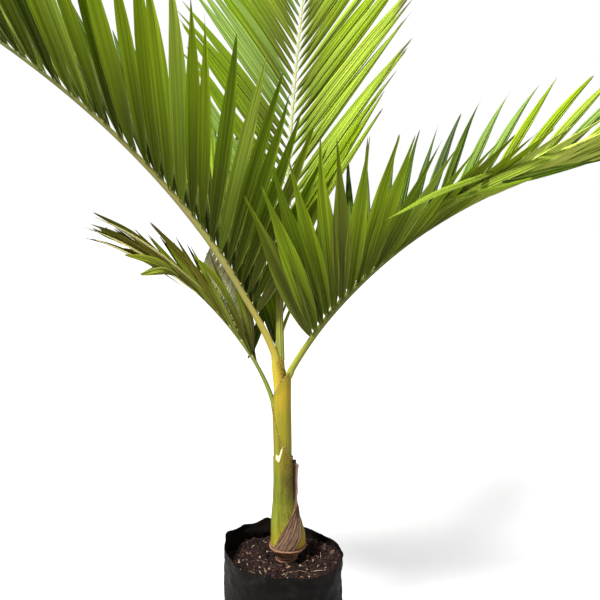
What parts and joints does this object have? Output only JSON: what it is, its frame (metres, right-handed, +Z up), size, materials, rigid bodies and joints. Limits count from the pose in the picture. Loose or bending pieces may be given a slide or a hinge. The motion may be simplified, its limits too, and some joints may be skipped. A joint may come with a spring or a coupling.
{
  "type": "potted feather palm",
  "caption": "Young feather palm with a green sheathed stem and arching fronds, growing in a black film nursery bag",
  "frame": {"origin": "centre of the bag's flat underside, on the ground", "axes": "+Z up the stem, the picture's viewer stands at -Y, the long fronds reach to -X and +X"},
  "size_m": [2.3456, 0.9526, 2.2241],
  "materials": {
    "bag_film": "slightly glossy creased film",
    "potting_soil": "crumbly, damp",
    "ringed_wood": "ringed, corky",
    "green_sheath": "smooth, waxy",
    "yellow_sheath": "smooth, waxy",
    "dry_fibre": "dry, fibrous",
    "leaf_green": "satin leaf",
    "leaf_bright": "satin leaf",
    "leaf_old": "dull leaf"
  },
  "bodies": {
    "root": {"grow_bag": "bag_film", "soil": "potting_soil", "trunk": "ringed_wood", "outer_sheath": "green_sheath", "sheath_low": "green_sheath", "sheath_right": "green_sheath", "sheath_left": "yellow_sheath", "dry_husk": "dry_fibre", "spear": "green_sheath", "frond_left": "leaf_green", "frond_right": "leaf_bright", "frond_centre": "leaf_green", "frond_back": "leaf_green", "frond_low": "leaf_old"}
  },
  "joints": []
}
